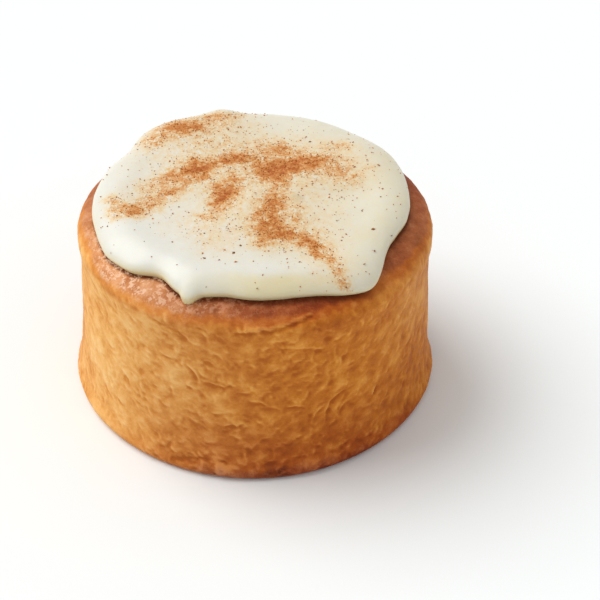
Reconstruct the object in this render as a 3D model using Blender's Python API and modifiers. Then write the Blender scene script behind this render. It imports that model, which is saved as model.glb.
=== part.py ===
"""A cinnamon roll baked in a straight ring, with thick icing spread over its top.

Two solids stand on the XY plane, in metres, with +Z up and the front towards -Y:
  dough  the baked roll, with a flared foot, a slightly drawn-in wall and a domed top
  icing  the layer of icing that follows the dome and runs over the shoulder
Both are turned shapes whose points are then moved by the same rule, so the icing fits the dough.
"""

import math

import bpy

MM = 0.001
SEGMENTS = 90
MERGE = 0.01 * MM

# The wall of the dough, from the table up
CONTACT_RADIUS = 42.7 * MM
FOOT_HEIGHT = 2.2 * MM
WALL_TOP_RADIUS = 41.1 * MM
WALL_LEAN = 1.65 * MM
FOOT_FLARE = 1.55 * MM
FOOT_FLARE_HEIGHT = 3.8 * MM
LIP_HEIGHT = 43.2 * MM
LIP_BULGE = 0.65 * MM
LIP_BULGE_HEIGHT = 4.5 * MM

# The rounded shoulder and the dome
SHOULDER_RISE = 5.2 * MM
SHOULDER_WIDTH = 12.6 * MM
DOME_RISE = 1.6 * MM

# Rows of points on the dough, for its dome, shoulder, wall and foot
DOME_ROWS = 5
SHOULDER_ROWS = 9
WALL_ROWS = 13
FOOT_ROWS = 3

# How far the roll is from a true turned shape: oval and a little square in plan, uneven at the lip
OVAL = 0.0135
SKEW = 0.006
SQUARE = 0.0045
LIP_WAVE = 0.3 * MM
LIP_WAVE_FINE = 0.18 * MM
TOP_TILT = 0.25 * MM
TOP_SADDLE = 0.12 * MM
TILT_BEARING = math.radians(120)

# The icing, with a soft roll at its edge that curls back under itself
ICING_GAP = 0.3 * MM
ICING_REACH = 37.3 * MM
ICING_THICKNESS = 4.2 * MM
ICING_MIDDLE_DIP = 0.6 * MM
ICING_MIDDLE_WIDTH = 18.6 * MM
ICING_SWELL = 0.3 * MM
ICING_SWELL_PHASE = math.radians(46)
EDGE_ROUND = 7.0 * MM
EDGE_TUCK = 0.9 * MM
EDGE_BULGE_SHARE = 0.36

# Tongues and bays of the icing's edge: bearing and half width in degrees, extra reach, extra thickness
ICING_LOBES = (
    (0, 14, -1.5 * MM, 0.0),
    (30, 14, 1.2 * MM, 0.0),
    (122, 28, 2.4 * MM, 1.1 * MM),
    (190, 22, 0.4 * MM, 0.0),
    (235, 6, -1.9 * MM, 0.0),
    (246, 5, 1.8 * MM, -0.5 * MM),
    (276, 20, -1.8 * MM, 0.0),
    (310, 8, 2.6 * MM, 0.0),
    (337, 9, -2.5 * MM, 0.0),
)

# Rows of points on the icing: shares of the radius on its top and underside, turns in degrees at its edge
TOP_SHARES = (0.0, 0.25, 0.5, 0.7, 0.86, 1.0)
EDGE_UPPER_TURNS = (78, 62, 47, 32, 16, 0)
EDGE_LOWER_TURNS = (30, 60, 90)
BELOW_SHARES = (0.9, 0.8, 0.65, 0.45, 0.2, 0.0)


def clear_scene():
    for obj in list(bpy.data.objects):
        bpy.data.objects.remove(obj, do_unlink=True)


def bump(distance, width):
    """A smooth bump of height 1 that fades over the given width."""
    return math.exp(-((distance / width) ** 2))


def wall_radius(height):
    """Radius of the wall: it leans in, flares at the foot and bulges at the lip."""
    lean = WALL_LEAN * (1 - height / LIP_HEIGHT)
    flare = FOOT_FLARE * math.exp(-(height - FOOT_HEIGHT) / FOOT_FLARE_HEIGHT)
    bulge = LIP_BULGE * bump(height - LIP_HEIGHT, LIP_BULGE_HEIGHT)
    return WALL_TOP_RADIUS + lean + flare + bulge


LIP_RADIUS = wall_radius(LIP_HEIGHT)
SHOULDER_INNER = LIP_RADIUS - SHOULDER_WIDTH


def top_height(radius):
    """Height of the dough's top: a dome in the middle, then an elliptical shoulder out to the lip."""
    if radius <= SHOULDER_INNER:
        return LIP_HEIGHT + SHOULDER_RISE + DOME_RISE * (1 - (radius / SHOULDER_INNER) ** 2) ** 2
    across = min(1.0, (radius - SHOULDER_INNER) / SHOULDER_WIDTH)
    return LIP_HEIGHT + SHOULDER_RISE * math.sqrt(1 - across**2)


def top_normal(radius):
    """Outward and upward parts of the top's normal in the profile plane."""
    step = 0.02 * MM
    outer = min(radius + step, LIP_RADIUS)
    inner = max(outer - 2 * step, 0.0)
    slope = (top_height(outer) - top_height(inner)) / (outer - inner)
    length = math.hypot(1.0, slope)
    return -slope / length, 1 / length


def dough_profile():
    """(radius, height) from the middle of the top, down the outer side, to the middle of the base."""
    points = []
    for step in range(DOME_ROWS):
        radius = SHOULDER_INNER * step / DOME_ROWS
        points.append((radius, top_height(radius)))
    for step in range(SHOULDER_ROWS):
        radius = SHOULDER_INNER + SHOULDER_WIDTH * math.sin(math.radians(90 * step / SHOULDER_ROWS))
        points.append((radius, top_height(radius)))
    for step in range(WALL_ROWS + 1):
        height = LIP_HEIGHT + (FOOT_HEIGHT - LIP_HEIGHT) * step / WALL_ROWS
        points.append((wall_radius(height), height))
    overhang = wall_radius(FOOT_HEIGHT) - CONTACT_RADIUS
    for step in range(1, FOOT_ROWS + 1):
        turn = math.radians(90 * step / FOOT_ROWS)
        points.append((CONTACT_RADIUS + overhang * math.cos(turn), FOOT_HEIGHT * (1 - math.sin(turn))))
    points.append((0.0, 0.0))
    return points


def place(bearing, radius, height):
    """A point of the turned shape, moved to where the uneven roll has it."""
    up = min(1.0, height / LIP_HEIGHT) ** 3
    out = min(1.0, radius / LIP_RADIUS)
    oval = OVAL * math.cos(2 * bearing) + SKEW * math.sin(2 * bearing) + SQUARE * math.cos(4 * bearing)
    wave = LIP_WAVE_FINE * math.sin(5 * bearing) - LIP_WAVE * math.sin(3 * bearing)
    tilt = TOP_TILT * math.cos(bearing - TILT_BEARING) * out + TOP_SADDLE * math.cos(2 * bearing)
    moved = radius * (1 + oval) + wave * up * out**2
    return moved * math.cos(bearing), moved * math.sin(bearing), height + tilt * up * out


def lobe_sum(bearing, column):
    """What the tongues and bays add up to at one bearing, in one column of their table."""
    total = 0.0
    for lobe in ICING_LOBES:
        away = (math.degrees(bearing) - lobe[0] + 180) % 360 - 180
        total += lobe[column] * bump(away, lobe[1])
    return total


def icing_reach(bearing):
    """How far from the axis the icing's edge lies, in the turned shape."""
    return ICING_REACH + lobe_sum(bearing, 2)


def icing_thickness(bearing, radius):
    """Thickness of the icing before its edge is rounded off."""
    share = min(1.0, radius / ICING_REACH)
    dip = ICING_MIDDLE_DIP * bump(radius, ICING_MIDDLE_WIDTH)
    swell = ICING_SWELL * math.sin(3 * bearing + ICING_SWELL_PHASE) * math.sin(math.pi * share)
    return ICING_THICKNESS - dip + swell + lobe_sum(bearing, 3) * share**3


def top_row(share):
    """A row on the icing's top, at a share of the way out to where its edge starts to round off."""
    def at(bearing):
        radius = share * (icing_reach(bearing) - EDGE_ROUND)
        return radius, icing_thickness(bearing, radius)
    return at


def edge_row(turn, span, upper):
    """A row round the icing's edge, above or below its widest line."""
    def at(bearing):
        reach = icing_reach(bearing)
        full = icing_thickness(bearing, reach - EDGE_ROUND)
        widest = ICING_GAP + EDGE_BULGE_SHARE * (full - ICING_GAP)
        rise = (full - widest) if upper else (ICING_GAP - widest)
        angle = math.radians(turn)
        return reach - span * (1 - math.cos(angle)), widest + rise * math.sin(angle)
    return at


def below_row(share):
    """A row on the icing's underside, just above the dough."""
    def at(bearing):
        return share * (icing_reach(bearing) - EDGE_TUCK), ICING_GAP
    return at


def icing_rows():
    """The rows from the middle of the top, round the edge, to the middle of the underside.

    Each is a function of the bearing that gives the radius and the height above the dough.
    """
    rows = [top_row(share) for share in TOP_SHARES]
    rows += [edge_row(turn, EDGE_ROUND, True) for turn in EDGE_UPPER_TURNS]
    rows += [edge_row(turn, EDGE_TUCK, False) for turn in EDGE_LOWER_TURNS]
    rows += [below_row(share) for share in BELOW_SHARES]
    return rows


def material(name, colour, roughness):
    made = bpy.data.materials.new(name)
    made.use_nodes = True
    shader = made.node_tree.nodes["Principled BSDF"]
    shader.inputs["Base Color"].default_value = (*colour, 1.0)
    shader.inputs["Roughness"].default_value = roughness
    shader.inputs["Metallic"].default_value = 0.0
    return made


def turned(name, profile, collection):
    """A closed turned body from a profile that runs down its outer side, as a plain mesh."""
    mesh = bpy.data.meshes.new(name)
    corners = [(radius, 0.0, height) for radius, height in profile]
    mesh.from_pydata(corners, [(i, i + 1) for i in range(len(corners) - 1)], [])
    source = bpy.data.objects.new(name + "_profile", mesh)
    collection.objects.link(source)
    screw = source.modifiers.new("turn", "SCREW")
    screw.axis = "Z"
    screw.steps = SEGMENTS
    screw.render_steps = SEGMENTS
    screw.use_merge_vertices = True
    screw.merge_threshold = MERGE
    graph = bpy.context.evaluated_depsgraph_get()
    body = bpy.data.objects.new(name, bpy.data.meshes.new_from_object(source.evaluated_get(graph)))
    bpy.data.objects.remove(source, do_unlink=True)
    collection.objects.link(body)
    body.data.shade_smooth()
    return body


def build_dough(collection):
    dough = turned("dough", dough_profile(), collection)
    for vertex in dough.data.vertices:
        x, y, height = vertex.co
        vertex.co = place(math.atan2(y, x), math.hypot(x, y), height)
    dough.data.materials.append(material("baked dough", (0.62, 0.30, 0.10), 0.65))
    return dough


def build_icing(collection):
    """Turn a plain spindle with one ring for each row, 1 mm apart, then move every ring into place."""
    rows = icing_rows()
    last = len(rows) - 1
    spindle = [(MM * min(i, last - i), MM * (last - i)) for i in range(len(rows))]
    icing = turned("icing", spindle, collection)
    for vertex in icing.data.vertices:
        x, y, height = vertex.co
        bearing = math.atan2(y, x)
        radius, above = rows[round(last - height / MM)](bearing)
        out, up = top_normal(radius)
        vertex.co = place(bearing, radius + out * above, top_height(radius) + up * above)
    icing.data.materials.append(material("cream icing", (0.86, 0.82, 0.68), 0.35))
    return icing


def main():
    clear_scene()
    collection = bpy.data.collections.new("cinnamon_roll")
    bpy.context.scene.collection.children.link(collection)
    build_dough(collection)
    build_icing(collection)


main()
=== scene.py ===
"""A cinnamon roll with cream icing and ground cinnamon, on a pale floor in soft studio light.

The crust replaces the plain dough and the cream replaces the plain icing. Both follow the CAD's form,
with the fine surface added as real geometry. Shapes are worked out in millimetres and made in metres.
"""

import math

import bpy
import numpy as np
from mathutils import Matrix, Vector
from mathutils.bvhtree import BVHTree


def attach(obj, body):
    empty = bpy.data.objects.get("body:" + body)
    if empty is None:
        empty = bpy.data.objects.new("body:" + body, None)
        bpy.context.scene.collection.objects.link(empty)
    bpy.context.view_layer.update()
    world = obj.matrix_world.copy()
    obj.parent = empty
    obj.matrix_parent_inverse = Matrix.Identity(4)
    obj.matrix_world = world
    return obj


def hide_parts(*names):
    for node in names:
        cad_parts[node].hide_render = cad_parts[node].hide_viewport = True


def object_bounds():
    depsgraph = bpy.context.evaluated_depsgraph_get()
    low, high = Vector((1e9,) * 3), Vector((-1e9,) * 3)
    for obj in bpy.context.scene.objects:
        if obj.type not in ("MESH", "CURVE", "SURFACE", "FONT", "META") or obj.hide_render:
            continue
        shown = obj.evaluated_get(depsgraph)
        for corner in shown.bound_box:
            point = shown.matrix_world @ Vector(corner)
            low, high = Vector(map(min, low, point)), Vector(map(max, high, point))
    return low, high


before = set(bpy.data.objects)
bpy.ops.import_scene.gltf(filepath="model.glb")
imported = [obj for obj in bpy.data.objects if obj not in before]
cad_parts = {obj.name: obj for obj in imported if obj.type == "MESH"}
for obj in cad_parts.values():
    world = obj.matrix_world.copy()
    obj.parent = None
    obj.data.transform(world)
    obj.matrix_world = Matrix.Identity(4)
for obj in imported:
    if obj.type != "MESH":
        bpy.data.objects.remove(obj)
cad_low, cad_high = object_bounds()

MM = 0.001

# The camera, fitted to the roll's outline in the photograph, which is 600 pixels square
PHOTO_PX = 600
FOCAL_PX = 1738
AXIS_PX = (255.1, 286.2)
SENSOR = 36.0
CAMERA_DISTANCE = 430
CAMERA_ELEVATION = math.radians(38.88)
AIM_HEIGHT = 24
CLIP_START = 0.01
CLIP_END = 20

# The light: the direction that the wide soft key comes from, its apparent width and the glow all round
KEY_BEARING = math.radians(157.7)
KEY_ELEVATION = math.radians(51.6)
KEY_WIDTH = math.radians(49)
KEY_STRENGTH = 2.2
GLOW_STRENGTH = 0.62

# The floor, in metres from its middle to its sides
FLOOR_HALF_SIDE = 3.0
FLOOR_COLOUR = (0.85, 0.875, 0.87)

# The dough's form, as in the CAD
CONTACT_RADIUS = 42.7
FOOT_HEIGHT = 2.2
WALL_TOP_RADIUS = 41.1
WALL_LEAN = 1.65
FOOT_FLARE = 1.55
FOOT_FLARE_HEIGHT = 3.8
LIP_HEIGHT = 43.2
LIP_BULGE = 0.65
LIP_BULGE_HEIGHT = 4.5
SHOULDER_RISE = 5.2
SHOULDER_WIDTH = 12.6
DOME_RISE = 1.6
OVAL = 0.0135
SKEW = 0.006
SQUARE = 0.0045
LIP_WAVE = 0.3
LIP_WAVE_FINE = 0.18
TOP_TILT = 0.25
TOP_SADDLE = 0.12
TILT_BEARING = math.radians(120)

# The icing's form: as in the CAD, but with every tongue and bay of its edge
ICING_REACH = 37.3
ICING_THICKNESS = 4.2
ICING_MIDDLE_DIP = 0.6
ICING_MIDDLE_WIDTH = 18.6
ICING_SWELL = 0.3
ICING_SWELL_PHASE = math.radians(46)
EDGE_ROUND = 7.0
EDGE_TUCK = 0.9
EDGE_BULGE_SHARE = 0.36
ICING_SUNK = 0.25
RAGGED_DEPTH = 0.15
RAGGED_COUNT = 7

# Tongues and bays: bearing and half width in degrees, extra reach, extra thickness
ICING_LOBES = (
    (0, 28, -1.3, -0.4),
    (33, 16, 1.5, 0.3),
    (62, 16, 0.9, 0.3),
    (103, 7, 2.2, 0.8),
    (128, 23, 3.4, 1.5),
    (147, 9, -1.7, -0.4),
    (190, 29, 0.2, 0.2),
    (208, 7, 0.6, 0.0),
    (232, 8, -2.6, 0.0),
    (258, 10, -1.6, 0.0),
    (280, 23, -1.8, -0.1),
    (299, 7, 0.3, 0.0),
    (311, 11, 2.4, 0.0),
    (331, 13, -1.9, 0.0),
    (344, 13, -0.6, 0.0),
)

# The drip at the front left, which only the lowest part of the edge has
DRIP_BEARING = 246.2
DRIP_WIDTH = 2.8
DRIP_REACH = 2.0

# The crust's mesh: points round it, and rows of points from its top to its foot and over its base.
# The shoulder's rows lie further apart up to HIDDEN_TURN degrees, where the icing hides them
CRUST_COLUMNS = 800
DOME_ROWS = 5
HIDDEN_ROWS = 5
HIDDEN_TURN = 22
SHOULDER_ROWS = 18
WALL_ROWS = 84
FOOT_ROWS = 6
BASE_RADII = (38, 25, 0)

# The icing's mesh: points round it, and rows on its top, round its edge, tucked under it and at its base
ICING_COLUMNS = 440
ICING_TOP_ROWS = 62
ICING_EDGE_ROWS = 24
ICING_TUCK_ROWS = 7
ICING_BASE_SHARES = (0.94, 0.8, 0.5, 0.0)

# The wall's skin: the way its wrinkles lean, in degrees, at bearings all round the roll
GRAIN = ((205, -22), (250, -18), (295, 28), (340, 55), (25, 30), (70, -15), (115, -40), (160, 20))
GRAIN_STEP = 45
WALL_MIDDLE = 22.0
MEAN_RADIUS = 42.0

# Length and width in mm of the wrinkles' crests and of the soft streaks
BROAD_CREST = (5.2, 2.3)
FINE_CREST = (2.7, 1.35)
STREAK = (10, 2.1)

# How far the wrinkles wander from straight, and over what distance, in mm
WANDER = 1.2
WANDER_SIZE = 4.5
WANDER_FINE = 0.45
WANDER_FINE_SIZE = 1.7

# What the skin's unevenness is made of: swells, lumps, mottles, broad crests and fine crests.
# The first three have a size in mm. Each has a relief in mm and a change of tone,
# and some change the tone more where the skin is marked
SWELL_SIZE = 15
LUMP_SIZE = 5.0
MOTTLE_SIZE = 2.5
CREST_MEAN = 0.3
SKIN_RELIEF = (0.20, 0.14, 0.05, 0.08, 0.04)
SKIN_TONE = (0.14, 0.24, 0.22, 0.09, 0.05)
SKIN_TONE_MARKED = (0.0, 0.0, 0.07, 0.12, 0.08)
MEAN_TONE = 0.46
STREAK_SHARE = 0.05
STREAK_RELIEF = 0.3

# The random flakes; their lifts are in mm
FLAKE_COUNT = 2200
FLAKE_LENGTHS = (1.1, 3.4)
FLAKE_HEIGHTS = (1.5, 44.5)
FLAKE_LEAN_SPREAD = 38
FLAKE_LEAST_LIFT = 0.02
FLAKE_LIFT_RANGE = 0.13
FLAKE_BENDS = (-0.45, 0.45)

# Across a flake and a crease, in mm: half widths, and how far below the line the next part lies
FLAKE_LIP = 0.36
FLAKE_HOLLOW = 0.5
FLAKE_HOLLOW_BELOW = 0.75
FLAKE_RISE = 1.5
CREASE = 0.42
CREASE_EDGE = 0.36
CREASE_EDGE_BELOW = 0.85

# How far a long mark wanders from its line in mm, and how many degrees it takes to fade at its ends
LINE_WANDER = 0.5
LINE_WANDER_SIZE = 2.6
LINE_FADE = 0.8

# Stretches round the roll where a look shows: middle bearing and half width in degrees, and strength
MARKED = ((262, 38, 1.0), (80, 65, 1.0))
STREAKED = (315, 34, 0.12)
LOW_BROWN_LEFT = (260, 27, 0.26)
LOW_BROWN_RIGHT = (302, 24, 0.20)
# Painted shade on the wall under the rim at the front right
UNDER_RIM_SHADE = (298, 14, 0.22)
FOOT_BROWN = (286, 42, 0.68)
# Paler crust at the left, together with painted sheen where the key light falls
PALE_AND_SHEEN_LEFT = (210, 41, 1.0)
PALE_UPPER_RIGHT = (348, 26, 0.28)
PALE_CORNER = (316, 9, 0.25)
# Painted sheen on the browned rim, most at the front left
SHEEN_STRETCH = (224, 34, 0.95)
# Painted shade on the rim under the icing's edge: wider at the front, and less of it at the corner on the
# right
EDGE_SHADE_FRONT = (282, 30, 1.7)
LESS_EDGE_SHADE_CORNER = (320, 12, 0.85)
# Painted bounce light from the crust and painted shade, in cream, on the icing's front face
FACE_BOUNCE_AND_SHADE = (279, 32, 0.68)

# How strong such looks are all round the roll. The width of the painted shade under the icing's edge is in
# mm, and the icing's cream colour grows by CREAM_RISE for each mm to the right
LOW_BROWN = 0.06
FOOT_BROWN_LEAST = 0.04
SHEEN_LEAST = 0.05
EDGE_SHADE_WIDTH = 1.2
CREAM_LEVEL = 0.29
CREAM_RISE = 0.004

# Sizes in mm of the brown patches and of their ragged edges
BROWN_PATCH_SIZE = 9
BROWN_RAGGED_SIZE = 2.2

# How the crust browned: bearing, how far up the skin the gold ends, how far up the dark rim begins
RIM_EDGE = (
    (15, 43.8, 45.6), (60, 43.5, 45.8), (110, 43.5, 45.8), (160, 43.5, 45.2), (200, 45.0, 46.4),
    (211, 42.8, 45.3), (221, 42.4, 45.7), (230, 42.8, 46.1), (245, 43.4, 46.5), (258, 45.4, 47.3),
    (270, 44.6, 47.4), (279, 44.8, 47.4), (290, 45.8, 47.6), (303, 45.0, 47.8), (316, 46.0, 49.6),
    (330, 45.4, 47.6), (343, 44.7, 46.6), (355, 44.2, 45.8),
)

# Long marks in the skin: how far the skin lifts above the line, or sinks along it if less than 0,
# then the line's points as bearing and height
SEEN_LINES = (
    (0.44, ((263, 43.8), (269, 44.5), (275, 44.7), (281, 45.5), (284, 46.3), (289, 47.0))),
    (-0.34, ((235, 42.8), (240.5, 42.3), (245.4, 41.1), (247.5, 39.0))),
    (-0.24, ((216, 38.2), (222.5, 37.9))),
    (-0.28, ((251.5, 44.0), (255, 43.0))),
    (0.28, ((238.5, 33.2), (245, 32.7))),
    (0.34, ((253, 28.6), (260, 27.4), (262.5, 29.0))),
    (0.25, ((256, 19.4), (262.5, 20.2))),
    (0.30, ((268, 24.0), (274, 22.3))),
    (0.26, ((280.5, 21.4), (286, 21.0))),
    (0.16, ((278, 39.4), (292, 37.0))),
    (-0.38, ((242.5, 2.5), (251, 4.4), (258, 5.7), (261.5, 4.4))),
    (-0.30, ((300, 5.2), (302.5, 6.0))),
)

# Short flakes of skin: bearing, height, length, lean in degrees, lift
SEEN_FLAKES = (
    (251, 30.2, 5.0, -58, 0.30),
    (261.5, 16.2, 2.6, 20, 0.25),
    (295, 20.3, 9.5, 50, 0.22),
    (290, 18.0, 6.0, 52, 0.18),
    (299, 17.5, 5.0, 55, 0.16),
    (312, 17.5, 2.4, 60, 0.24),
)

# Light knots and dark pits in the skin, the pits' darkness partly painted shade: bearing, height, half
# width, how far it stands out
SEEN_DOTS = (
    (229.2, 40.1, 0.7, 0.20),
    (260.8, 37.9, 0.7, 0.25),
    (270.9, 44.4, 0.7, 0.35),
    (285.8, 46.4, 0.6, 0.30),
    (303.7, 46.2, 0.8, 0.30),
    (286.0, 3.1, 0.6, 0.25),
    (246.8, 39.3, 0.9, -0.45),
    (232.3, 33.2, 0.7, -0.25),
    (236.8, 31.4, 0.7, -0.20),
    (230.8, 24.7, 0.7, -0.25),
    (235.3, 26.0, 0.7, -0.20),
    (256.0, 26.9, 1.3, -0.30),
    (252.5, 16.0, 1.3, -0.30),
    (293.4, 39.2, 0.8, -0.35),
    (295.1, 25.4, 0.7, -0.30),
    (295.5, 19.6, 0.7, -0.35),
    (294.5, 17.1, 0.7, -0.35),
    (288.2, 17.1, 0.6, -0.35),
)

# Where cinnamon fell: x, y, half length, half width, turn in degrees, how thick; the thin veils come first
DUSTING = (
    (-13, 29, 13, 7, 10, 0.24),
    (-2, 17, 26, 8, 3, 0.22),
    (5, 6, 22, 11, 0, 0.17),
    (-22, 1, 11, 6, 15, 0.17),
    (7, -13, 15, 11, -15, 0.19),
    (17, -27, 5, 7, 30, 0.16),
    (-17, -13, 9, 6, 0, 0.10),
    (-10, -20, 6, 6, 0, 0.12),
    (-19.5, 26.5, 6.4, 4.2, 5, 0.40),
    (-17.0, 26.5, 4.2, 2.4, 8, 0.60),
    (-25.5, 21.0, 3.2, 2.8, 50, 0.38),
    (-9.0, 31.5, 6.0, 2.6, 20, 0.26),
    (-14.4, 8.6, 4.2, 3.6, 12, 0.98),
    (-4.2, 13.0, 4.4, 2.3, 14, 0.90),
    (-9.5, 10.6, 3.0, 1.6, 30, 0.22),
    (-20.4, 5.4, 2.6, 1.7, 0, 0.46),
    (-14.4, 4.0, 3.6, 1.4, 20, 0.44),
    (-5.6, 3.6, 3.2, 1.8, 80, 0.36),
    (-24.0, 3.0, 4.0, 1.8, 24, 0.32),
    (-18.6, 0.6, 3.2, 2.2, 25, 0.42),
    (-24.0, -3.4, 4.0, 2.4, 40, 0.46),
    (-29.4, -7.0, 4.2, 2.8, 0, 0.70),
    (-34.0, -2.8, 1.8, 2.0, 0, 0.42),
    (-7.2, -2.0, 4.4, 3.3, 82, 0.98),
    (-10.5, -9.5, 3.6, 2.6, 0, 0.28),
    (4.8, 8.4, 5.0, 4.8, 10, 1.0),
    (5.4, 2.4, 3.2, 2.4, 90, 0.36),
    (12.8, 12.0, 6.6, 3.5, 8, 0.74),
    (20.6, 6.8, 5.2, 3.6, -15, 0.36),
    (5.4, 18.0, 4.0, 2.6, 0, 0.44),
    (20.3, 18.7, 3.0, 2.4, 0, 0.30),
    (27.0, 10.4, 4.0, 2.2, 0, 0.14),
    (4.4, -5.4, 3.8, 3.0, 90, 0.62),
    (3.0, -10.8, 3.6, 3.7, 90, 0.72),
    (5.6, -15.8, 4.8, 3.2, -15, 0.74),
    (2.0, -19.0, 3.4, 2.6, 0, 0.32),
    (11.4, -18.4, 4.4, 2.4, -25, 0.58),
    (14.4, -22.2, 3.2, 1.9, -60, 0.48),
    (17.2, -26.8, 3.8, 1.2, -60, 0.40),
    (20.2, -31.2, 2.4, 1.0, -50, 0.36),
    (9.6, -8.0, 2.8, 1.7, 90, 0.26),
)
PATCH_COVER = 0.9

# How far the patches' edges wander, and the sizes and strength of the clumps in them
DUST_WANDER = 1.0
DUST_WANDER_SIZE = 3.5
CLUMP_SIZE = 2.4
CLUMP_SIZE_FINE = 1.1
CLUMP_SHARE = 0.3

# A faint painted shade in a hollow of the icing, given as a patch of cinnamon is
HOLLOW_SHADE = (9.6, -3.2, 2.0, 1.8, 0, 1.0)

# The largest dark specks that stand alone: x, y
LONE_SPECKS = (
    (-35.7, 9.3), (-28.8, 18.5), (-17.8, -5.9), (-34.3, -11.7), (-11.6, -16.6), (-11.4, -25.4),
    (-3.3, -21.0), (-4.8, -23.6), (-6.2, -15.1), (-8.9, 6.7), (0.4, -34.0), (-10.9, -33.2),
    (19.0, -11.0), (25.0, -7.2), (29.7, -1.9), (27.3, -14.0), (31.6, -14.2), (19.8, -18.3),
    (24.6, -25.9), (10.0, -26.3), (6.5, -22.1), (27.2, -21.0), (13.5, 21.5), (24.1, 20.9),
    (30.0, 11.1), (-11.6, 30.0), (-6.6, 32.7), (20.4, -31.9),
)
LONE_SIZES = (0.3, 0.45)
LONE_TONES = (0.85, 1.0)

# The grains of the dusting: how many are tried, how far out, how many stay, and their sizes and tones
SPOT_TRIES = 170000
SPOT_REACH = 40
SPOT_CHANCE = 0.24
SPOT_CLUMPING = 1.3
SPOT_LEAST_SIZE = 0.10
SPOT_SIZE_RANGE = 0.17
SPOT_MEAN_TONE = 0.35
SPOT_TONE_SPREAD = 0.28
SPOT_TOP_TONE = 0.95

# The specks that fell wide of the patches
FALLEN_SPECKS = 1000
FALLEN_REACH = 38
FALLEN_CHANCE = 0.2
FALLEN_CHANCE_NEAR = 2.0
FALLEN_SIZES = (0.14, 0.30)
FALLEN_TONES = (0.1, 0.85)

# How a crumb's corners, length, width and height vary, how far it leans, and how far its middle is raised
CRUMB_CORNERS = 6
CRUMB_UNEVEN = (0.55, 1.25)
CRUMB_SHORTEST = (0.7, 0.6, 0.4)
CRUMB_LONGEST = (1.5, 1.0, 0.8)
CRUMB_LEAN = 0.3
CRUMB_RAISED = 0.12

# Crumbs fall from this height in mm, and stay where the icing's normal has at least this upward part
DROP_HEIGHT = 100
STEEPEST_UP = 0.35

# Colours of the crust where its skin is dark, middling and light, on the golden wall, in the turn to orange
# above it and on the browned rim, each also for where the crust is pale, which at the left is partly
# painted sheen
TONE_STOPS = (0.08, 0.48, 0.95)
WALL_TONES = ((0.42, 0.100, 0.008), (0.58, 0.180, 0.016), (0.78, 0.330, 0.055))
WALL_TONES_PALE_SHEEN = ((0.68, 0.270, 0.050), (0.83, 0.430, 0.125), (0.92, 0.610, 0.260))
TURN_TONES = ((0.27, 0.048, 0.005), (0.41, 0.084, 0.008), (0.62, 0.200, 0.035))
TURN_TONES_PALE_SHEEN = ((0.53, 0.170, 0.025), (0.72, 0.290, 0.062), (0.86, 0.460, 0.160))
RIM_TONES = ((0.12, 0.017, 0.003), (0.25, 0.038, 0.006), (0.47, 0.130, 0.034))
RIM_TONES_PALE_SHEEN = ((0.42, 0.135, 0.035), (0.67, 0.285, 0.110), (0.86, 0.510, 0.280))
# The colour of the painted shade on the rim under the icing's edge
RIM_SHADE_UNDER_ICING = (0.125, 0.021, 0.004)
# The colours of the painted sheen on the browned rim, where the crust is dark and where it is pale
RIM_SHEEN = (0.64, 0.27, 0.125)
RIM_SHEEN_PALE = (0.88, 0.60, 0.41)

# Colours of the icing and, from a thin veil to thick powder, of the cinnamon
ICING_WHITE = (0.710, 0.700, 0.630)
# The icing's cream colour, also used for painted bounce light from the crust and painted shade on its lower
# edge and front face
ICING_CREAM_AND_BOUNCE = (0.700, 0.590, 0.300)
# The colour of the painted shade in a hollow of the icing
HOLLOW_SHADE_COLOUR = (0.40, 0.31, 0.14)
DUST_STOPS = (0.2, 0.56, 1.0)
DUST_TONES = ((0.72, 0.550, 0.320), (0.61, 0.260, 0.060), (0.44, 0.108, 0.010))
GRAIN_STOPS = (0.0, 0.6, 1.0)
GRAIN_TONES = ((0.57, 0.200, 0.036), (0.40, 0.110, 0.014), (0.18, 0.110, 0.050))

# The noise: what picks one of its random gradients for each corner of its cells, its scale, and how
# narrow its crests are where it is folded
RANDOM_SEED = 7
GRADIENT_COUNT = 256
HASH_STEPS = np.array((73856093, 19349663, 83492791))
HASH_SEED_STEP = 1013
HASH_SHIFT = 13
NOISE_SCALE = 1.7
CREST_SHARPNESS = 2.2

rng = np.random.default_rng(RANDOM_SEED)
GRADIENTS = rng.normal(size=(GRADIENT_COUNT, 3))
GRADIENTS /= np.linalg.norm(GRADIENTS, axis=1, keepdims=True)


def noise(x, y, z=0.0, seed=0):
    """Smooth gradient noise, about -1 to 1, with features one unit apart."""
    points = np.stack(np.broadcast_arrays(x, y, z), axis=-1).astype(float)
    cell = np.floor(points).astype(np.int64)
    part = points - cell
    ease = part**3 * (part * (part * 6 - 15) + 10)
    total = np.zeros(points.shape[:-1])
    for corner in np.ndindex(2, 2, 2):
        key = ((cell + corner) * HASH_STEPS).sum(axis=-1) + seed * HASH_SEED_STEP
        key = (key ^ (key >> HASH_SHIFT)) % GRADIENT_COUNT
        weight = np.where(corner, ease, 1 - ease).prod(axis=-1)
        total += weight * ((part - corner) * GRADIENTS[key]).sum(axis=-1)
    return NOISE_SCALE * total


def ridged(x, y, z=0.0, seed=0):
    """Noise folded into thin crests, 0 in the hollows and 1 on the crests."""
    return np.clip(1 - CREST_SHARPNESS * np.abs(noise(x, y, z, seed)), 0, 1) ** 2


def skin_noise(bearing, up, size, seed):
    """Noise over the roll's side, with features of the given size and no seam."""
    across, back = np.cos(bearing) * MEAN_RADIUS, np.sin(bearing) * MEAN_RADIUS
    return noise(across / size, back / size, up / size, seed)


def bump(distance, width):
    """A smooth bump of height 1 that fades over the given width."""
    return np.exp(-((distance / width) ** 2))


def smooth(value, low, high):
    """0 below low, 1 above high, and a smooth step between."""
    share = np.clip((value - low) / (high - low), 0, 1)
    return share * share * (3 - 2 * share)


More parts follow.
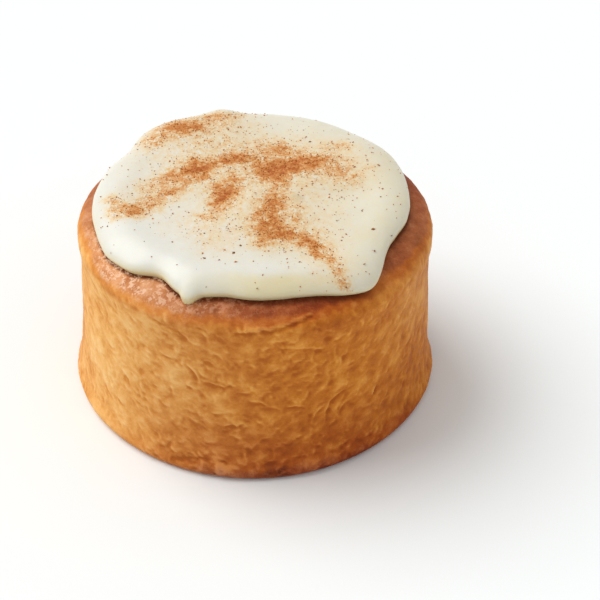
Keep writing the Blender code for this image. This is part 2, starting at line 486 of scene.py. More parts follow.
def away_from(bearing, middle):
    """Signed angle in degrees from a bearing in degrees to bearings in radians."""
    return (np.degrees(bearing) - middle + 180) % 360 - 180


def stretch(bearing, middle, half_width, strength):
    """How strongly a look shows at bearings in radians: most at the middle of its stretch."""
    return strength * bump(away_from(bearing, middle), half_width)


def wall_radius(height):
    lean = WALL_LEAN * (1 - height / LIP_HEIGHT)
    flare = FOOT_FLARE * np.exp(-(height - FOOT_HEIGHT) / FOOT_FLARE_HEIGHT)
    return WALL_TOP_RADIUS + lean + flare + LIP_BULGE * bump(height - LIP_HEIGHT, LIP_BULGE_HEIGHT)


LIP_RADIUS = wall_radius(LIP_HEIGHT)
SHOULDER_INNER = LIP_RADIUS - SHOULDER_WIDTH


def top_height(radius):
    """Height of the dough's top: a dome in the middle, then an elliptical shoulder out to the lip."""
    dome = DOME_RISE * (1 - np.minimum(1, radius / SHOULDER_INNER) ** 2) ** 2
    across = np.clip((radius - SHOULDER_INNER) / SHOULDER_WIDTH, 0, 1)
    return LIP_HEIGHT + SHOULDER_RISE * np.sqrt(1 - across**2) + dome


def top_normal(radius):
    """Outward and upward parts of the top's normal in the profile plane."""
    step = 0.02
    outer = np.minimum(radius + step, LIP_RADIUS)
    inner = np.maximum(outer - 2 * step, 0)
    slope = (top_height(outer) - top_height(inner)) / (outer - inner)
    length = np.hypot(1, slope)
    return -slope / length, 1 / length


def place(bearing, radius, height):
    """Points of the turned shape, moved to where the uneven roll has them, as x, y, z."""
    up = np.minimum(1, height / LIP_HEIGHT) ** 3
    out = np.minimum(1, radius / LIP_RADIUS)
    oval = OVAL * np.cos(2 * bearing) + SKEW * np.sin(2 * bearing) + SQUARE * np.cos(4 * bearing)
    wave = LIP_WAVE_FINE * np.sin(5 * bearing) - LIP_WAVE * np.sin(3 * bearing)
    tilt = TOP_TILT * np.cos(bearing - TILT_BEARING) * out + TOP_SADDLE * np.cos(2 * bearing)
    moved = radius * (1 + oval) + wave * up * out**2
    return np.stack((moved * np.cos(bearing), moved * np.sin(bearing), height + tilt * up * out), axis=-1)


def inside_cad(points):
    """Points in mm, kept within the CAD's box."""
    return np.clip(points, np.array(cad_low) / MM, np.array(cad_high) / MM)


def lobe_sum(bearing, column):
    """What the tongues and bays of the icing's edge add up to, in one column of their table."""
    return sum(stretch(bearing, lobe[0], lobe[1], lobe[column]) for lobe in ICING_LOBES)


def edge_reach(bearing):
    """How far from the axis the icing's edge lies, without its drip."""
    across, back = np.cos(bearing) * RAGGED_COUNT, np.sin(bearing) * RAGGED_COUNT
    ragged = RAGGED_DEPTH * noise(across, back, 3.0, 13)
    return ICING_REACH + lobe_sum(bearing, 2) + ragged


def column_bearings(count):
    return 2 * math.pi * np.arange(count) / count


def add_values(mesh, values):
    """Keep named numbers, one for each point, as attributes for the material."""
    for name, numbers in values.items():
        layer = mesh.attributes.new(name, "FLOAT", "POINT")
        layer.data.foreach_set("value", np.asarray(numbers, np.float32))


def show(name, mesh):
    made = bpy.data.objects.new(name, mesh)
    bpy.context.scene.collection.objects.link(made)
    return made


def turned_mesh(name, rings, values):
    """A closed smooth mesh from rings of points in mm, (rows, columns, 3); the end rings become one point.

    values are named numbers for each point, (rows, columns).
    """
    rows, columns = rings.shape[:2]
    rings = inside_cad(rings)
    inner = rings[1:-1].reshape(-1, 3)
    points = np.concatenate((rings[0].mean(0)[None], inner, rings[-1].mean(0)[None])) * MM
    ring = 1 + np.arange((rows - 2) * columns).reshape(rows - 2, columns)
    after = np.roll(ring, -1, axis=1)
    quads = np.stack((ring[:-1], ring[1:], after[1:], after[:-1]), axis=-1).reshape(-1, 4)
    first = [(0, int(a), int(b)) for a, b in zip(ring[0], after[0])]
    last = [(len(points) - 1, int(b), int(a)) for a, b in zip(ring[-1], after[-1])]
    mesh = bpy.data.meshes.new(name)
    mesh.from_pydata(points.tolist(), [], first + quads.tolist() + last)
    flat = {}
    for key, grid in values.items():
        flat[key] = np.concatenate(([grid[0].mean()], grid[1:-1].ravel(), [grid[-1].mean()]))
    add_values(mesh, flat)
    mesh.shade_smooth()
    mesh.validate()
    return show(name, mesh)


def crust_profile():
    """Radius, height and distance up the skin of each row, from the middle of the top to the base's."""
    points = [(radius, float(top_height(radius))) for radius in np.linspace(0, SHOULDER_INNER, DOME_ROWS)]
    hidden = np.linspace(0, HIDDEN_TURN, HIDDEN_ROWS + 1)[1:]
    shown = np.linspace(HIDDEN_TURN, 90, SHOULDER_ROWS + 1)[1:]
    for turn in np.radians(np.concatenate((hidden, shown))):
        radius = SHOULDER_INNER + SHOULDER_WIDTH * math.sin(turn)
        points.append((radius, float(top_height(radius))))
    lip_row = len(points) - 1
    for height in np.linspace(LIP_HEIGHT, FOOT_HEIGHT, WALL_ROWS + 1)[1:]:
        points.append((float(wall_radius(height)), height))
    overhang = float(wall_radius(FOOT_HEIGHT)) - CONTACT_RADIUS
    for turn in np.radians(np.linspace(0, 90, FOOT_ROWS + 1)[1:]):
        points.append((CONTACT_RADIUS + overhang * math.cos(turn), FOOT_HEIGHT * (1 - math.sin(turn))))
    points += [(radius, 0) for radius in BASE_RADII]
    radius, height = np.array(points).T
    along = np.concatenate(([0], np.cumsum(np.hypot(np.diff(radius), np.diff(height)))))
    return radius, height, LIP_HEIGHT + along[lip_row] - along


def lifted(across, fade, lift):
    """Relief and tone round the edge of a lifted bit of skin: a light lip, and a dark hollow under it,
    whose darkness is partly painted shade.
    """
    lip = bump(across, FLAKE_LIP) * fade
    hollow = bump(across + FLAKE_HOLLOW_BELOW, FLAKE_HOLLOW) * fade
    above = bump(np.maximum(across, 0), FLAKE_RISE) * (across > 0) * fade
    relief = lift * (0.7 * lip + 0.4 * above - 0.9 * hollow)
    return relief, (0.10 + 1.6 * lift) * lip - (0.08 + 1.4 * lift) * hollow


def sunk(across, fade, depth):
    """Relief and tone round a crease: dark along its bottom, partly as painted shade, with a light lower
    edge.
    """
    crease = bump(across, CREASE) * fade
    edge = bump(across + CREASE_EDGE_BELOW, CREASE_EDGE) * fade
    return depth * (0.3 * edge - crease), 0.22 * edge - (0.3 + 0.9 * depth) * crease


def flake(bearing, up, middle, height, length, lean, lift, bend=0.09):
    """Relief and tone of one short flake of skin."""
    span = np.radians(away_from(bearing, middle)) * MEAN_RADIUS
    turn = math.radians(lean)
    run = span * math.cos(turn) + (up - height) * math.sin(turn)
    across = -span * math.sin(turn) + (up - height) * math.cos(turn)
    fade = np.exp(-((2 * run / length) ** 4))
    return lifted(across + bend * run**2, fade, lift)


def how_marked(bearing):
    """How marked the fine relief is: full at the front and the back, and faint at the sides."""
    return sum(stretch(bearing, *part) for part in MARKED)


def random_flakes():
    """Small curved flakes all over the wall, more or less along the grain."""
    made = []
    for _ in range(FLAKE_COUNT):
        middle = rng.uniform(0, 360)
        nearest = min(GRAIN, key=lambda entry: abs((middle - entry[0] + 180) % 360 - 180))
        length = rng.uniform(*FLAKE_LENGTHS)
        lean = nearest[1] + rng.normal(0, FLAKE_LEAN_SPREAD)
        lift = FLAKE_LEAST_LIFT + FLAKE_LIFT_RANGE * rng.uniform(0, 1) ** 2
        lift = lift * (0.42 + 0.7 * how_marked(math.radians(middle)))
        made.append((middle, rng.uniform(*FLAKE_HEIGHTS), length, lean, lift, rng.uniform(*FLAKE_BENDS)))
    return made


def line_marks(bearing, up, lift, line):
    """Relief and tone of one long mark."""
    at, rise = np.array(line).T
    degrees = np.degrees(bearing)
    wander = LINE_WANDER * skin_noise(bearing, up, LINE_WANDER_SIZE, 20)
    across = up - np.interp(degrees, at, rise) + wander
    from_start = smooth(degrees - at[0], -LINE_FADE, LINE_FADE)
    to_end = smooth(at[-1] - degrees, -LINE_FADE, LINE_FADE)
    fade = from_start * to_end * (0.7 + 0.4 * skin_noise(bearing, up, 2.2, 21))
    if lift > 0:
        return lifted(across, fade, lift)
    return sunk(across, fade, -lift)


def wrinkles(bearing, up):
    """Broad and fine crests of the wall's wrinkles, and long soft streaks, all leaning with the grain."""
    warp = WANDER * skin_noise(bearing, up, WANDER_SIZE, 1)
    warp_fine = WANDER_FINE * skin_noise(bearing, up, WANDER_FINE_SIZE, 14)
    broad = np.zeros_like(up)
    fine = np.zeros_like(up)
    streaks = np.zeros_like(up)
    for index, (middle, lean) in enumerate(GRAIN):
        away = away_from(bearing, middle)
        weight = np.cos(np.radians(np.clip(away * 90 / GRAIN_STEP, -90, 90))) ** 2
        local = np.radians(away) * MEAN_RADIUS
        turn = math.radians(lean)
        run = local * math.cos(turn) + (up - WALL_MIDDLE) * math.sin(turn) + warp
        across = -local * math.sin(turn) + (up - WALL_MIDDLE) * math.cos(turn) + warp
        broad += weight * ridged(run / BROAD_CREST[0], across / BROAD_CREST[1], index * 7.3, 2)
        streaks += weight * noise(run / STREAK[0], across / STREAK[1], index * 3.1, 18)
        run, across = run + warp_fine, across + warp_fine
        fine += weight * ridged(run / FINE_CREST[0], across / FINE_CREST[1], index * 5.9, 3)
    return broad, fine, streaks


def skin(bearing, up):
    """Relief in mm and tone of the crust; the tone is 0 in dark hollows and 1 on light crests, and the
    hollows' dark is partly painted shade.
    """
    broad, fine, streaks = wrinkles(bearing, up)
    swell = skin_noise(bearing, up, SWELL_SIZE, 4)
    lumps = skin_noise(bearing, up, LUMP_SIZE, 5)
    mottle = skin_noise(bearing, up, MOTTLE_SIZE, 6)
    parts = (swell, lumps, mottle, broad - CREST_MEAN, fine - CREST_MEAN)
    on_wall = smooth(up, 0.3, 2.0) * (1 - 0.7 * smooth(up, 43.5, 46.0))
    streaky = STREAK_SHARE + stretch(bearing, *STREAKED)
    marked = how_marked(bearing)
    relief = sum(lift * part for lift, part in zip(SKIN_RELIEF, parts))
    relief = (relief + STREAK_RELIEF * streaky * streaks) * on_wall
    tone = streaky * streaks
    for share, more, part in zip(SKIN_TONE, SKIN_TONE_MARKED, parts):
        tone += (share + more * marked) * part
    tone = MEAN_TONE + tone * (0.6 + 0.4 * on_wall)
    for entry in SEEN_FLAKES + tuple(random_flakes()):
        near = np.abs(away_from(bearing[0], entry[0])) < 4 + 0.8 * entry[2]
        rows = np.abs(up[:, 0] - entry[1]) < 3 + 0.6 * entry[2]
        window = np.ix_(rows, near)
        height, shade = flake(bearing[window], up[window], *entry)
        relief[window] += height
        tone[window] += shade
    for lift, line in SEEN_LINES:
        height, shade = line_marks(bearing, up, lift, line)
        relief += height
        tone += shade
    for middle, height, width, lift in SEEN_DOTS:
        distance = np.hypot(np.radians(away_from(bearing, middle)) * MEAN_RADIUS, up - height)
        relief += lift * bump(distance, width)
        tone += (0.25 * np.sign(lift) + 0.8 * lift) * bump(distance, width)
    return relief, np.clip(tone, 0, 1)


def browning_and_shade(bearing, up):
    """How dark the crust baked: 0 on the golden wall, half in the orange band above it and 1 on the rim,
    with painted shade added under the rim at the front right.
    """
    at, gold_end, rim_start = np.array(RIM_EDGE).T
    degrees = np.degrees(bearing)
    patch = skin_noise(bearing, up, BROWN_PATCH_SIZE, 8)
    small = skin_noise(bearing, up, BROWN_RAGGED_SIZE, 9)
    above_gold = up - np.interp(degrees, at, gold_end, period=360)
    above_turn = up - np.interp(degrees, at, rim_start, period=360)
    band = smooth(above_gold + 0.7 * patch + 1.0 * small, -2.0, 2.2)
    rim = smooth(above_turn + 0.3 * patch + 0.6 * small, -2.2, 2.2)
    lower = LOW_BROWN + stretch(bearing, *LOW_BROWN_LEFT) + stretch(bearing, *LOW_BROWN_RIGHT)
    low = lower * (1 - smooth(up + 2 * patch, 6, 26))
    # Painted shade on the wall under the rim at the front right
    under_rim_shade = stretch(bearing, *UNDER_RIM_SHADE) * smooth(up + patch, 34, 43)
    foot = FOOT_BROWN_LEAST + stretch(bearing, *FOOT_BROWN)
    foot = foot * (1 - smooth(up + 0.8 * small, 0.5, 6.5))
    wall = 0.03 + 0.10 * patch + low + under_rim_shade + foot
    return np.clip(np.maximum(0.5 * band + 0.5 * rim, wall), 0, 1)


def paleness_and_sheen(bearing, up):
    """How pale the crust is: most at the left, where it is partly paler crust and partly painted sheen from
    the key light, and a little at the upper right.
    """
    # Paler crust and painted sheen at the left, where the key light falls
    left = stretch(bearing, *PALE_AND_SHEEN_LEFT) * (0.9 + 0.1 * smooth(up, 6, 28))
    upper_right = stretch(bearing, *PALE_UPPER_RIGHT) * smooth(up, 18, 34)
    corner = stretch(bearing, *PALE_CORNER) * smooth(up, 43, 48)
    return left + upper_right + corner


def shade_under_icing(bearing, along, radius):
    """How much painted shade the crust gets under the icing's edge: 1 at the edge."""
    gap = radius - edge_reach(bearing)
    width = EDGE_SHADE_WIDTH + stretch(bearing, *EDGE_SHADE_FRONT)
    on_top = smooth(along, LIP_HEIGHT, LIP_HEIGHT + 2)
    return on_top * (1 - smooth(gap / width, -0.2, 1.0)) * (1 - stretch(bearing, *LESS_EDGE_SHADE_CORNER))


def build_crust():
    """The whole baked roll with its wrinkled skin."""
    radius, height, up = crust_profile()
    bearing, along = np.meshgrid(column_bearings(CRUST_COLUMNS), up)
    relief, tone = skin(bearing, along)
    # The base and what lies well under the icing have no relief
    shown = smooth(up, 0.3, 1.5) * (1 - smooth(up, 52.0, 56.0))
    relief = relief * shown[:, None]
    slope = np.gradient(np.stack((radius, height)), axis=1)
    normal = np.stack((slope[1], -slope[0])) / np.maximum(1e-9, np.hypot(*slope))
    normal = normal * np.sign(normal[0] + normal[1])
    wide = radius[:, None] + normal[0][:, None] * relief
    tall = height[:, None] + normal[1][:, None] * relief
    browned_and_shaded = browning_and_shade(bearing, along)
    return turned_mesh("crust", place(bearing, wide, tall), {
        "tone": tone,
        "browned_and_shaded": browned_and_shaded,
        "pale_and_sheen": paleness_and_sheen(bearing, along),
        "sheen": smooth(browned_and_shaded, 0.55, 0.9) * (SHEEN_LEAST + stretch(bearing, *SHEEN_STRETCH)),
        "icing_edge_shade": shade_under_icing(bearing, along, wide),
    })


def icing_relief(x, y):
    """Marks of the spoon and slow waves on top of the icing, in mm."""
    trough = -0.55 * bump(x - 20, 10) * bump(y + 3.5 - 0.15 * x, 4.2)
    right_roll = 0.35 * bump(x - 30, 4) * bump(y + 8, 12)
    front_roll = 0.25 * bump(y + 29.5, 4) * bump(x, 18)
    left_roll = 0.25 * bump(np.hypot(x, y) - 32, 3.5) * bump(x + 27, 12) * bump(y + 18, 14)
    waves = 0.14 * noise(x / 9, y / 9, 0.5, 11) + 0.06 * noise(x / 3.4, y / 3.4, 1.5, 12)
    return trough + right_roll + front_roll + left_roll + waves - 0.1


def creaminess(x, y):
    """How yellow the icing's top is: creamier to the right, and whiter on the thick roll at the left front
    and along the front, where the white is painted highlight.
    """
    # The two rolls are made whiter as painted highlight where the light falls on them
    left_roll = 0.3 * bump(x + 25, 13) * bump(y + 19, 9)
    front_roll = 0.1 * bump(y + 29, 4) * bump(x + 2, 18)
    return np.clip(CREAM_LEVEL + CREAM_RISE * x - left_roll - front_roll, 0, 1)


def build_icing():
    """The icing: a thick soft layer whose edge rolls over and rests on the crust."""
    bearing = column_bearings(ICING_COLUMNS)
    reach = edge_reach(bearing)
    drip = DRIP_REACH * np.exp(-np.abs(away_from(bearing, DRIP_BEARING) / DRIP_WIDTH) ** 3)
    extra = lobe_sum(bearing, 3)

    def thickness(radius):
        share = np.minimum(1, radius / ICING_REACH)
        dip = ICING_MIDDLE_DIP * bump(radius, ICING_MIDDLE_WIDTH)
        swell = ICING_SWELL * np.sin(3 * bearing + ICING_SWELL_PHASE) * np.sin(math.pi * share)
        return ICING_THICKNESS - dip + swell + extra * share**3

    rows = []
    for share in np.linspace(0, 1, ICING_TOP_ROWS):
        radius = share * (reach - EDGE_ROUND)
        rows.append((radius, thickness(radius)))
    full = thickness(reach - EDGE_ROUND)
    widest = EDGE_BULGE_SHARE * full
    for turn in np.radians(np.linspace(88, 0, ICING_EDGE_ROWS)):
        out = reach - EDGE_ROUND * (1 - math.cos(turn)) + 0.6 * drip * math.cos(turn) ** 6
        rows.append((out, widest + (full - widest) * math.sin(turn)))
    for turn in np.radians(np.linspace(12, 90, ICING_TUCK_ROWS)):
        out = reach - EDGE_TUCK * (1 - math.cos(turn)) + drip * (0.6 + 0.4 * math.sin(turn))
        rows.append((out, widest - (widest + ICING_SUNK) * math.sin(turn)))
    for share in ICING_BASE_SHARES:
        rows.append((share * (reach - EDGE_TUCK), np.full_like(reach, -ICING_SUNK)))
    radius = np.array([row[0] for row in rows])
    above = np.array([row[1] for row in rows])
    out, up = top_normal(radius)
    around = np.broadcast_to(bearing, radius.shape)
    points = place(around, radius + out * above, top_height(radius) + up * above)
    upper = smooth(above, 0.5, 3.0)
    x, y = points[..., 0], points[..., 1]
    points[..., 2] += icing_relief(x, y) * upper
    # The icing's thin lower edge and its front face are creamier: painted bounce light from the crust, and
    # painted shade
    low_edge_bounce = 0.8 * (1 - smooth(above, 0.8, 3.8))
    front_face_bounce = stretch(around, *FACE_BOUNCE_AND_SHADE) * (1 - smooth(reach - radius, 2.4, 6.4))
    return turned_mesh("icing_cream", points, {
        "dust": cinnamon(x, y) * upper,
        "hollow_shade": patch_strength(x, y, HOLLOW_SHADE) * upper,
        "cream_and_painted_light": np.maximum(creaminess(x, y), np.maximum(low_edge_bounce, front_face_bounce)),
    })


def patch_strength(x, y, patch):
    """How thick one patch of cinnamon lies at points x, y."""
    middle_x, middle_y, length, width, turn, strength = patch
    turn = math.radians(turn)
    run = (x - middle_x) * math.cos(turn) + (y - middle_y) * math.sin(turn)
    across = -(x - middle_x) * math.sin(turn) + (y - middle_y) * math.cos(turn)
    return strength * np.exp(-(run / length) ** 2 - (across / width) ** 2)


def cinnamon(x, y):
    """How thick the cinnamon lies at points x, y, from 0 to 1, clumped and with ragged edges."""
    shift_x = DUST_WANDER * noise(x / DUST_WANDER_SIZE, y / DUST_WANDER_SIZE, 2.5, 15)
    shift_y = DUST_WANDER * noise(x / DUST_WANDER_SIZE, y / DUST_WANDER_SIZE, 6.5, 16)
    clear = np.ones_like(x)
    for patch in DUSTING:
        clear = clear * (1 - PATCH_COVER * patch_strength(x + shift_x, y + shift_y, patch))
    clumps = noise(x / CLUMP_SIZE, y / CLUMP_SIZE, 0.5, 17)
    clumps += noise(x / CLUMP_SIZE_FINE, y / CLUMP_SIZE_FINE, 0.5, 19)
    return np.clip((1 - clear) * (1 + CLUMP_SHARE * clumps), 0, 1)


def fresh_material(name):
    made = bpy.data.materials.new(name)
    made.use_nodes = True
    return made, made.node_tree, made.node_tree.nodes["Principled BSDF"]


def add(tree, kind, inputs=None, **settings):
    """A new node, with its settings, and with a value or a link for each named or numbered input."""
    node = tree.nodes.new(kind)
    for key, value in settings.items():
        setattr(node, key, value)
    for key, value in (inputs or {}).items():
        if isinstance(value, bpy.types.NodeSocket):
            tree.links.new(value, node.inputs[key])
        else:
            node.inputs[key].default_value = value
    return node


def math_node(tree, operation, first, second):
    return add(tree, "ShaderNodeMath", {0: first, 1: second}, operation=operation).outputs[0]


def weigh(tree, start, terms):
    """A start value plus a sum of sockets, each times its weight.

    A noise is 0.5 on average, so a start below 0 keeps the sum's mean where noises are added.
    """
    total = start
    for socket, weight in terms:
        total = math_node(tree, "ADD", math_node(tree, "MULTIPLY", socket, weight), total)
    return total


def step_node(tree, value, low, high, top=1.0):
    """A smooth step of a value, from 0 at low to top at high."""
    inputs = {"Value": value, "From Min": low, "From Max": high, "To Min": 0.0, "To Max": top}
    return add(tree, "ShaderNodeMapRange", inputs, interpolation_type="SMOOTHSTEP").outputs["Result"]


def mix_node(tree, share, first, second):
    """Blend two colours; each is a socket or three numbers."""
    node = add(tree, "ShaderNodeMix", data_type="RGBA")
    for socket, value in ((node.inputs[0], share), (node.inputs[6], first), (node.inputs[7], second)):
        if isinstance(value, bpy.types.NodeSocket):
            tree.links.new(value, socket)
        else:
            socket.default_value = value if isinstance(value, float) else (*value, 1.0)
    return node.outputs[2]


def tone_ramp(tree, tone, colours, stops=TONE_STOPS):
    """Three colours over a tone from dark to light."""
    ramp = add(tree, "ShaderNodeValToRGB", {"Fac": tone})
    ramp.color_ramp.elements.new(0.5)
    for element, position, colour in zip(ramp.color_ramp.elements, stops, colours):
        element.position = position
        element.color = (*colour, 1.0)
    return ramp.outputs["Color"]


def noise_node(tree, size_mm, detail=2.0, roughness=0.5):
    """Noise over the object's own coordinates, with features of the given size."""
    place_node = add(tree, "ShaderNodeTexCoord")
    inputs = {
        "Vector": place_node.outputs["Object"],
        "Scale": 1 / (size_mm * MM),
        "Detail": detail,
        "Roughness": roughness,
    }
    return add(tree, "ShaderNodeTexNoise", inputs).outputs["Fac"]


def value_of(tree, name):
    return add(tree, "ShaderNodeAttribute", attribute_name=name).outputs["Fac"]


def crust_material():
    made, tree, shader = fresh_material("baked crust")
    # Paler crust, with painted sheen at the left where the key light falls
    pale_and_sheen = value_of(tree, "pale_and_sheen")
    grain, speckle = noise_node(tree, 0.9, 3.0, 0.6), noise_node(tree, 0.4, 1.0)
    tone = weigh(tree, -0.34, ((value_of(tree, "tone"), 1.0), (grain, 0.46), (speckle, 0.22)))
    wall = mix_node(tree, pale_and_sheen, tone_ramp(tree, tone, WALL_TONES), tone_ramp(tree, tone, WALL_TONES_PALE_SHEEN))
    turn = mix_node(tree, pale_and_sheen, tone_ramp(tree, tone, TURN_TONES), tone_ramp(tree, tone, TURN_TONES_PALE_SHEEN))
    rim = mix_node(tree, pale_and_sheen, tone_ramp(tree, tone, RIM_TONES), tone_ramp(tree, tone, RIM_TONES_PALE_SHEEN))
    # Browning, with painted shade under the rim at the front right
    browned_and_shaded = weigh(tree, -0.13, ((value_of(tree, "browned_and_shaded"), 1.0), (noise_node(tree, 2.2, 4.0), 0.26)))
    colour = mix_node(tree, step_node(tree, browned_and_shaded, 0.05, 0.45), wall, turn)
    colour = mix_node(tree, step_node(tree, browned_and_shaded, 0.52, 0.92), colour, rim)
    # Painted shade on the rim under the icing's edge
    icing_edge_shade = weigh(tree, -0.2, ((value_of(tree, "icing_edge_shade"), 1.2), (noise_node(tree, 1.2, 2.0), 0.4)))
    colour = mix_node(tree, step_node(tree, icing_edge_shade, 0.15, 1.0, 0.9), colour, RIM_SHADE_UNDER_ICING)
    # Painted sheen: light pinkish specks on the browned rim
    sheen = weigh(tree, 0.0, ((noise_node(tree, 1.3, 3.0, 0.6), 0.75), (speckle, 0.25)))
    sheen = math_node(tree, "MULTIPLY", step_node(tree, sheen, 0.47, 0.59, 0.75), value_of(tree, "sheen"))
    colour = mix_node(tree, sheen, colour, mix_node(tree, pale_and_sheen, RIM_SHEEN, RIM_SHEEN_PALE))
    tree.links.new(colour, shader.inputs["Base Color"])
    rough = step_node(tree, noise_node(tree, 1.4, 3.0), 0.3, 0.7, 0.2)
    tree.links.new(math_node(tree, "ADD", rough, 0.5), shader.inputs["Roughness"])
    shader.inputs["Specular IOR Level"].default_value = 0.12
    relief = add(tree, "ShaderNodeBump", {
        "Strength": 0.5,
        "Distance": 0.14 * MM,
        "Height": weigh(tree, 0.0, ((grain, 1.0), (speckle, 0.45))),
    })
    tree.links.new(relief.outputs["Normal"], shader.inputs["Normal"])
    return made


def icing_material():
    made, tree, shader = fresh_material("cream icing")
    dust = value_of(tree, "dust")
    # Cream colour, with painted bounce light and shade on the lower edge and front face, and painted
    # highlight on the rolls
    tint = weigh(tree, -0.15, ((value_of(tree, "cream_and_painted_light"), 1.0), (noise_node(tree, 5.0, 2.0), 0.3)))
    colour = mix_node(tree, step_node(tree, tint, 0.0, 1.0), ICING_WHITE, ICING_CREAM_AND_BOUNCE)
    fluff, powder = noise_node(tree, 1.5, 3.0, 0.65), noise_node(tree, 0.5, 2.0, 0.7)
    # Painted shade in a hollow of the icing
    hollow_shade = weigh(tree, -0.7, ((value_of(tree, "hollow_shade"), 1.2), (fluff, 0.7), (powder, 0.7)))
    colour = mix_node(tree, step_node(tree, hollow_shade, 0.1, 0.9, 0.6), colour, HOLLOW_SHADE_COLOUR)
    uneven = weigh(tree, -1.2, ((fluff, 1.1), (powder, 1.2)))
    uneven = math_node(tree, "MULTIPLY", uneven, step_node(tree, dust, 0.0, 0.4))
    thick = weigh(tree, uneven, ((dust, 1.1),))
    veil = step_node(tree, thick, 0.0, 0.25)
    colour = mix_node(tree, veil, colour, tone_ramp(tree, thick, DUST_TONES, DUST_STOPS))
    tree.links.new(colour, shader.inputs["Base Color"])
    dry = math_node(tree, "MULTIPLY", dust, 0.35)
    tree.links.new(math_node(tree, "ADD", dry, 0.34), shader.inputs["Roughness"])
    shader.inputs["Specular IOR Level"].default_value = 0.45
    shader.inputs["Subsurface Weight"].default_value = 0.25
    shader.inputs["Subsurface Radius"].default_value = (1.0, 0.75, 0.45)
    shader.inputs["Subsurface Scale"].default_value = 2.2 * MM
    ripples, heaped = noise_node(tree, 2.6, 2.0), step_node(tree, thick, 0.0, 0.9)
    relief = add(tree, "ShaderNodeBump", {
        "Strength": 0.35,
        "Distance": 0.15 * MM,
        "Height": weigh(tree, 0.0, ((ripples, 1.0), (heaped, 0.4))),
    })
    tree.links.new(relief.outputs["Normal"], shader.inputs["Normal"])
    return made


def grain_material():
    made, tree, shader = fresh_material("ground cinnamon")
    colour = tone_ramp(tree, value_of(tree, "tone"), GRAIN_TONES, GRAIN_STOPS)
    mottle = step_node(tree, noise_node(tree, 0.2), 0.3, 0.7, 0.3)
    colour = mix_node(tree, mottle, colour, GRAIN_TONES[1])
    tree.links.new(colour, shader.inputs["Base Color"])
    shader.inputs["Roughness"].default_value = 0.85
    shader.inputs["Specular IOR Level"].default_value = 0.2
    return made


def scatter_spots():
    """Where grains lie: x, y, size and tone of each, in mm, thick where the dusting is."""
    x, y = rng.uniform(-SPOT_REACH, SPOT_REACH, (2, SPOT_TRIES))
    kept = rng.uniform(0, 1, x.size) < SPOT_CHANCE * cinnamon(x, y) ** SPOT_CLUMPING
    x, y = x[kept], y[kept]
    size = SPOT_LEAST_SIZE + SPOT_SIZE_RANGE * rng.uniform(0, 1, x.size) ** 2.5
    tone = np.clip(rng.normal(SPOT_MEAN_TONE, SPOT_TONE_SPREAD, x.size), 0, SPOT_TOP_TONE)
    wide_x, wide_y = rng.uniform(-FALLEN_REACH, FALLEN_REACH, (2, FALLEN_SPECKS))
    chance = FALLEN_CHANCE + FALLEN_CHANCE_NEAR * cinnamon(wide_x, wide_y)
    near = rng.uniform(0, 1, FALLEN_SPECKS) < chance
    wide_x, wide_y = wide_x[near], wide_y[near]
    specks = np.array(LONE_SPECKS).T
    x = np.concatenate((x, wide_x, specks[0]))
    y = np.concatenate((y, wide_y, specks[1]))
    few, lone = len(wide_x), specks.shape[1]
    size = np.concatenate((size, rng.uniform(*FALLEN_SIZES, few), rng.uniform(*LONE_SIZES, lone)))
    tone = np.concatenate((tone, rng.uniform(*FALLEN_TONES, few), rng.uniform(*LONE_TONES, lone)))
    return x, y, size, tone


def crumb_shapes(count):
    """Uneven eight-sided crumbs of about unit size: their corners, and the faces of one of them."""
    corners = np.array(((1, 0, 0), (0, 1, 0), (-1, 0, 0), (0, -1, 0), (0, 0, 1), (0, 0, -1)), float)
    upper = [(side, (side + 1) % 4, 4) for side in range(4)]
    lower = [((side + 1) % 4, side, 5) for side in range(4)]
    shape = corners * rng.uniform(*CRUMB_UNEVEN, (count, CRUMB_CORNERS, 1))
    shape = shape * rng.uniform(CRUMB_SHORTEST, CRUMB_LONGEST, (count, 3))[:, None]
    turn = rng.uniform(0, 2 * math.pi, (count, 1))
    across = shape[..., 0] * np.cos(turn) - shape[..., 1] * np.sin(turn)
    back = shape[..., 0] * np.sin(turn) + shape[..., 1] * np.cos(turn)
    tilt = rng.normal(0, CRUMB_LEAN, (count, 2, 1))
    up = shape[..., 2] + across * tilt[:, 0] + back * tilt[:, 1]
    return np.stack((across, back, up), axis=-1), np.array(upper + lower)


def build_grains(icing):
    """The cinnamon's grains: one joined mesh of small uneven crumbs that lie on the icing."""
    surface = BVHTree.FromObject(icing, bpy.context.evaluated_depsgraph_get())
    x, y, size, tone = scatter_spots()
    down = Vector((0, 0, -1))
    spots, normals, kept = [], [], []
    for index in range(x.size):
        start = Vector((x[index], y[index], DROP_HEIGHT)) * MM
        hit, normal, _, _ = surface.ray_cast(start, down)
        if hit is not None and normal.z > STEEPEST_UP:
            spots.append(hit)
            normals.append(normal)
            kept.append(index)
    size, tone = size[kept], tone[kept]
    shape, faces = crumb_shapes(len(kept))
    centre = np.array(spots) / MM + np.array(normals) * (CRUMB_RAISED * size)[:, None]
    points = inside_cad((centre[:, None] + shape * size[:, None, None]).reshape(-1, 3))
    polygons = (faces[None] + CRUMB_CORNERS * np.arange(len(kept))[:, None, None]).reshape(-1, 3)
    mesh = bpy.data.meshes.new("cinnamon_grains")
    mesh.from_pydata((points * MM).tolist(), [], polygons.tolist())
    add_values(mesh, {"tone": np.repeat(tone, CRUMB_CORNERS)})
    return show("cinnamon_grains", mesh)


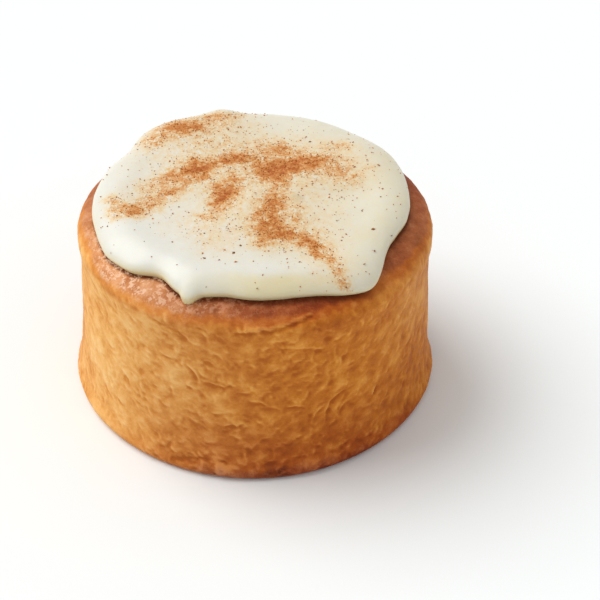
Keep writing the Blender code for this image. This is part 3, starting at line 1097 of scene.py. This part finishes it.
def build_floor():
    mesh = bpy.data.meshes.new("floor")
    signs = ((-1, -1), (1, -1), (1, 1), (-1, 1))
    corners = [(x * FLOOR_HALF_SIDE, y * FLOOR_HALF_SIDE, 0) for x, y in signs]
    mesh.from_pydata(corners, [], [(0, 1, 2, 3)])
    paint, _, shader = fresh_material("pale floor")
    shader.inputs["Base Color"].default_value = (*FLOOR_COLOUR, 1.0)
    shader.inputs["Roughness"].default_value = 0.9
    shader.inputs["Specular IOR Level"].default_value = 0.1
    mesh.materials.append(paint)
    return show("floor", mesh)


def build_light():
    """A wide soft light from the upper left and a little behind, and an even glow all round."""
    world = bpy.data.worlds.new("studio")
    bpy.context.scene.world = world
    world.use_nodes = True
    world.node_tree.nodes["Background"].inputs["Color"].default_value = (1.0, 1.0, 1.0, 1.0)
    world.node_tree.nodes["Background"].inputs["Strength"].default_value = GLOW_STRENGTH
    key = bpy.data.lights.new("key", "SUN")
    key.energy = KEY_STRENGTH
    key.angle = KEY_WIDTH
    made = show("key", key)
    flat = math.cos(KEY_ELEVATION)
    from_here = Vector((
        flat * math.cos(KEY_BEARING),
        flat * math.sin(KEY_BEARING),
        math.sin(KEY_ELEVATION),
    ))
    made.location = from_here
    made.rotation_mode = "QUATERNION"
    made.rotation_quaternion = from_here.to_track_quat("Z", "Y")


def build_camera():
    data = bpy.data.cameras.new("camera")
    data.sensor_width = SENSOR
    data.lens = SENSOR * FOCAL_PX / PHOTO_PX
    data.shift_x = (PHOTO_PX / 2 - AXIS_PX[0]) / PHOTO_PX
    data.shift_y = (AXIS_PX[1] - PHOTO_PX / 2) / PHOTO_PX
    data.clip_start = CLIP_START
    data.clip_end = CLIP_END
    made = show("camera", data)
    back = Vector((0, -math.cos(CAMERA_ELEVATION), math.sin(CAMERA_ELEVATION)))
    made.location = Vector((0, 0, AIM_HEIGHT * MM)) + back * CAMERA_DISTANCE * MM
    made.rotation_euler = (math.pi / 2 - CAMERA_ELEVATION, 0, 0)
    bpy.context.scene.camera = made


def main():
    bpy.context.scene.view_settings.view_transform = "Standard"
    build_camera()
    build_light()
    build_floor()

    crust = build_crust()
    crust.data.materials.append(crust_material())
    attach(crust, "root")
    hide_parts("dough")

    icing = build_icing()
    icing.data.materials.append(icing_material())
    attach(icing, "root")
    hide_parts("icing")

    grains = build_grains(icing)
    grains.data.materials.append(grain_material())
    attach(grains, "root")


main()
